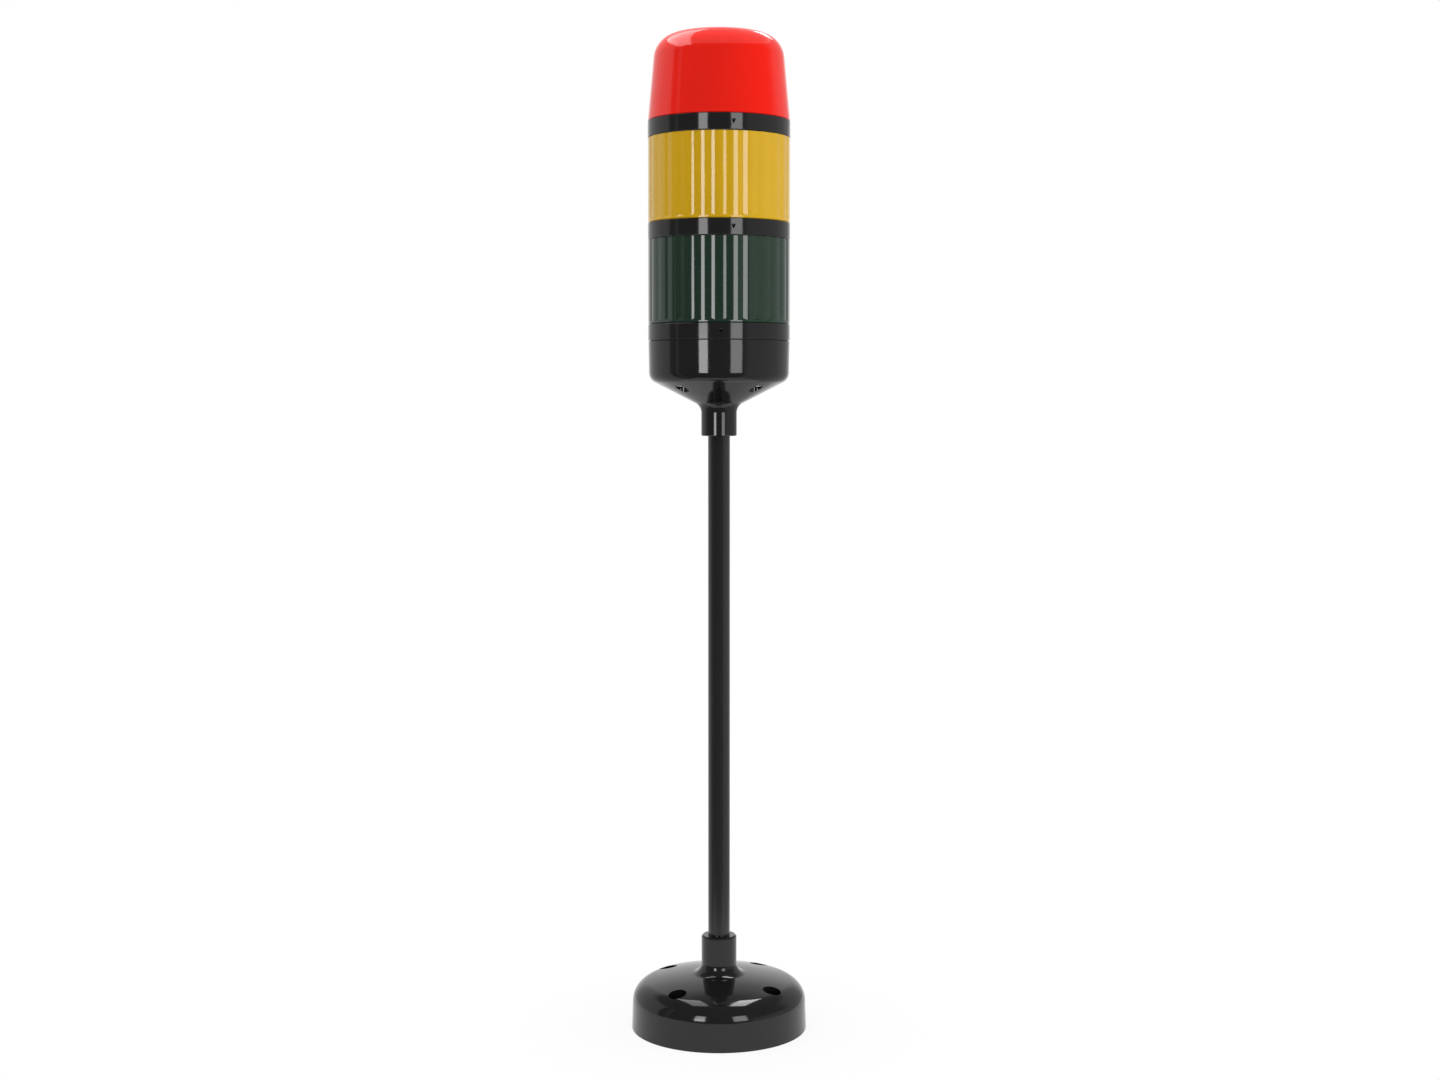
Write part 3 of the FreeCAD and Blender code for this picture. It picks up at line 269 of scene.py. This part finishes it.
def make_floor():
    """Pale table top that runs out to white and keeps a faint shadow."""
    mesh = bpy.data.meshes.new("floor")
    reach = TABLE_REACH
    corners = [(-reach, -reach, 0), (reach, -reach, 0), (reach, reach, 0), (-reach, reach, 0)]
    mesh.from_pydata(corners, [], [(0, 1, 2, 3)])
    floor = bpy.data.objects.new("floor", mesh)
    floor.location.z = -TABLE_DROP
    bpy.context.scene.collection.objects.link(floor)
    material = bpy.data.materials.new("pale_floor")
    material.use_nodes = True
    tree = material.node_tree
    tree.nodes.clear()
    matt = tree.nodes.new("ShaderNodeBsdfDiffuse")
    matt.inputs["Color"].default_value = (0.72, 0.72, 0.72, 1)
    glow = tree.nodes.new("ShaderNodeEmission")
    glow.inputs["Color"].default_value = (1, 1, 1, 1)
    # the camera and the glossy parts see it fade to plain white away from the middle
    place = tree.nodes.new("ShaderNodeTexCoord")
    away = tree.nodes.new("ShaderNodeVectorMath")
    away.operation = "LENGTH"
    tree.links.new(place.outputs["Object"], away.inputs[0])
    fade = tree.nodes.new("ShaderNodeMapRange")
    limits = (("From Min", SHADE_START), ("From Max", SHADE_END),
              ("To Min", SHADE_WHITE), ("To Max", 1))
    for name, number in limits:
        fade.inputs[name].default_value = number
    tree.links.new(away.outputs["Value"], fade.inputs["Value"])
    share = tree.nodes.new("ShaderNodeMath")
    share.operation = "MULTIPLY"
    mix = tree.nodes.new("ShaderNodeMixShader")
    output = tree.nodes.new("ShaderNodeOutputMaterial")
    tree.links.new(background_rays(tree, "Is Glossy Ray", "Is Transmission Ray"), share.inputs[0])
    tree.links.new(fade.outputs["Result"], share.inputs[1])
    tree.links.new(share.outputs["Value"], mix.inputs["Fac"])
    tree.links.new(matt.outputs["BSDF"], mix.inputs[1])
    tree.links.new(glow.outputs["Emission"], mix.inputs[2])
    tree.links.new(mix.outputs["Shader"], output.inputs["Surface"])
    mesh.materials.append(material)


class Surroundings:
    """World under construction: the brightness of the room by the direction of a ray."""

    def __init__(self):
        self.world = bpy.data.worlds.new("studio")
        self.world.use_nodes = True
        self.tree = self.world.node_tree
        self.tree.nodes.clear()
        place = self.node("ShaderNodeTexCoord").outputs["Generated"]
        axes = self.node("ShaderNodeSeparateXYZ")
        self.link(place, axes.inputs["Vector"])
        self.x, self.y, self.z = (axes.outputs[name] for name in "XYZ")
        # azimuth, in degrees: 0 is the camera's side, + is to the right
        turn = self.maths("ARCTAN2", self.x, self.maths("MULTIPLY", self.y, -1))
        self.azimuth = self.maths("DEGREES", turn)

    def node(self, kind):
        return self.tree.nodes.new(kind)

    def link(self, source, target):
        self.tree.links.new(source, target)

    def maths(self, operation, first, second=None):
        """Arithmetic on sockets or numbers."""
        made = self.node("ShaderNodeMath")
        made.operation = operation
        for target, value in zip(made.inputs, (first, second)):
            if isinstance(value, (int, float)):
                target.default_value = value
            elif value is not None:
                self.link(value, target)
        return made.outputs["Value"]

    def step(self, value, start, stop):
        """0 before start, 1 after stop, with a soft edge between."""
        made = self.node("ShaderNodeMapRange")
        made.interpolation_type = "SMOOTHSTEP"
        made.inputs["From Min"].default_value = start
        made.inputs["From Max"].default_value = stop
        self.link(value, made.inputs["Value"])
        return made.outputs["Result"]

    def span(self, value, start, stop, edge):
        """1 between start and stop, 0 outside, with soft edges."""
        rise = self.step(value, start - edge / 2, start + edge / 2)
        fall = self.step(value, stop - edge / 2, stop + edge / 2)
        return self.maths("SUBTRACT", rise, fall)

    def blend(self, base, mask, level):
        """The base, with a level laid over it where the mask is 1."""
        kept = self.maths("MULTIPLY", base, self.maths("SUBTRACT", 1, mask))
        return self.maths("ADD", kept, self.maths("MULTIPLY", mask, level))


def make_surroundings():
    """World: white to the camera; to the parts a pale room, white behind, dark in front and above.

    The spans are degrees of azimuth, or x, y and z of the ray's direction.
    """
    room = Surroundings()
    # a low pale screen on the right, and a tall one behind it
    low = room.maths("MULTIPLY", room.step(room.azimuth, 38, 50), room.step(room.z, 0.27, 0.15))
    tall = room.step(room.azimuth, 90, 115)
    level = room.blend(FRONT_LEVEL, room.maths("MAXIMUM", low, tall), RIGHT_LEVEL)
    # a pale wall on the left, ending in a narrow dark gap and a slat
    wall = room.maths("SUBTRACT", 1, room.step(room.azimuth, -90, -84))
    level = room.blend(level, wall, LEFT_LEVEL)
    level = room.blend(level, room.span(room.azimuth, -74, -69.5, 3), SLAT_LEVEL)
    level = room.blend(level, room.step(room.y, 0.82, 0.97), BACK_LEVEL)
    level = room.blend(level, room.step(room.z, 0.55, 0.7), CEILING_LEVEL)
    pale = room.node("ShaderNodeBackground")
    pale.inputs["Color"].default_value = (1, 1, 1, 1)
    room.link(level, pale.inputs["Strength"])
    white = room.node("ShaderNodeBackground")
    white.inputs["Color"].default_value = (1, 1, 1, 1)
    mix = room.node("ShaderNodeMixShader")
    room.link(background_rays(room.tree, "Is Transmission Ray"), mix.inputs["Fac"])
    room.link(pale.outputs["Background"], mix.inputs[1])
    room.link(white.outputs["Background"], mix.inputs[2])
    output = room.node("ShaderNodeOutputWorld")
    room.link(mix.outputs["Shader"], output.inputs["Surface"])
    bpy.context.scene.world = room.world


def area_light(name, place, size, radiance, shape="RECTANGLE"):
    """Even light that shines straight down until it is turned; the camera doesn't see it."""
    data = bpy.data.lights.new(name, "AREA")
    data.shape = shape
    data.size, data.size_y = size
    area = size[0] * size[1]
    if shape == "ELLIPSE":
        area *= math.pi / 4
    data.energy = radiance * math.pi * area
    light = bpy.data.objects.new(name, data)
    light.location = place
    light.visible_camera = False
    bpy.context.scene.collection.objects.link(light)
    return light


def softbox(name, azimuth, bottom, top, width, radiance):
    """Upright light that faces the tower; azimuth 0 is the camera's side, + is to the right."""
    angle = math.radians(azimuth)
    reach = SOFTBOX_DISTANCE
    place = (reach * math.sin(angle), -reach * math.cos(angle), (bottom + top) / 2)
    light = area_light(name, place, (width, top - bottom), radiance)
    light.rotation_euler = (math.radians(90), 0, angle)
    return light


def turn_to(light, target):
    """Face a light towards a point."""
    toward = Vector(target) - light.location
    light.rotation_euler = toward.to_track_quat("-Z", "Y").to_euler()


def shine_on(light, node, state):
    """Keep a light to one part ("INCLUDE") or off it ("EXCLUDE"), as a flag on a stand does."""
    group = bpy.data.collections.new(light.name + "_part")
    group.objects.link(frame["nodes"][node])
    for entry in group.collection_objects:
        entry.light_linking.link_state = state
    light.light_linking.receiver_collection = group


def make_lights():
    """Softboxes beside the camera, light over the head, fills that don't glint, and small lamps."""
    head = cad_box[1].z
    strips = (
        softbox("strip_left_high", -25, SOFTBOX_SPLIT, SOFTBOX_TOP, 0.31, 6.2),
        softbox("strip_left_low", -25, SOFTBOX_BOTTOM, SOFTBOX_SPLIT, 0.31, 9.0),
        softbox("strip_right", 28, SOFTBOX_BOTTOM, SOFTBOX_TOP, 0.41, 4.5),
    )
    for light in strips:
        shine_on(light, "tube", "EXCLUDE")
    # the two fills colour the right flank and the top, and aren't mirrored
    overhead = (0, 0, head + 0.5)
    fill_right = softbox("fill_right", 80, SOFTBOX_BOTTOM, SOFTBOX_TOP, 0.6, 8.0)
    ceiling = area_light("ceiling", overhead, (1.5, 1.5), 0.55, "ELLIPSE")
    fill_top = area_light("fill_top", overhead, (0.5, 0.5), 5.0, "ELLIPSE")
    for light in (fill_right, fill_top):
        light.visible_glossy = False
    # the red cap's top mirrors the ceiling and the panel; the foot is kept out of both
    panel = area_light("panel_left", (-0.525, 0.035, head + 0.45), (0.47, 0.98), 2.6)
    panel.rotation_euler.z = math.radians(-36.4)
    for light in (ceiling, panel):
        shine_on(light, "foot", "EXCLUDE")
    # glint on the cap's top right edge
    rim = area_light("rim_right", (0.38, 0.88, head + 0.68), (0.3, 0.22), 5.0)
    turn_to(rim, (0, 0, head))
    shine_on(rim, "red_lens", "INCLUDE")
    # glints on the foot's crown
    for name, side, radiance in (("foot_lamp_left", -1, 2.8), ("foot_lamp_right", 1, 8.0)):
        lamp = area_light(name, (side * 0.22, 0.375, 0.93), (0.2, 0.75), radiance)
        shine_on(lamp, "foot", "INCLUDE")


def make_camera():
    """Camera a metre in front of the tower, a little above its middle, looking slightly down."""
    pitch = math.radians(4.2)
    reach = 1.0145
    aim = Vector((0.0005, 0, 0.251))
    data = bpy.data.cameras.new("camera")
    data.lens = 50
    data.sensor_width = 36
    camera = bpy.data.objects.new("camera", data)
    camera.location = aim + Vector((0, -reach * math.cos(pitch), reach * math.sin(pitch)))
    camera.rotation_euler = (math.pi / 2 - pitch, 0, 0)
    bpy.context.scene.collection.objects.link(camera)
    bpy.context.scene.camera = camera


dress_parts(make_finishes())
make_floor()
make_surroundings()
make_lights()
make_camera()
bpy.context.scene.view_settings.view_transform = "Standard"
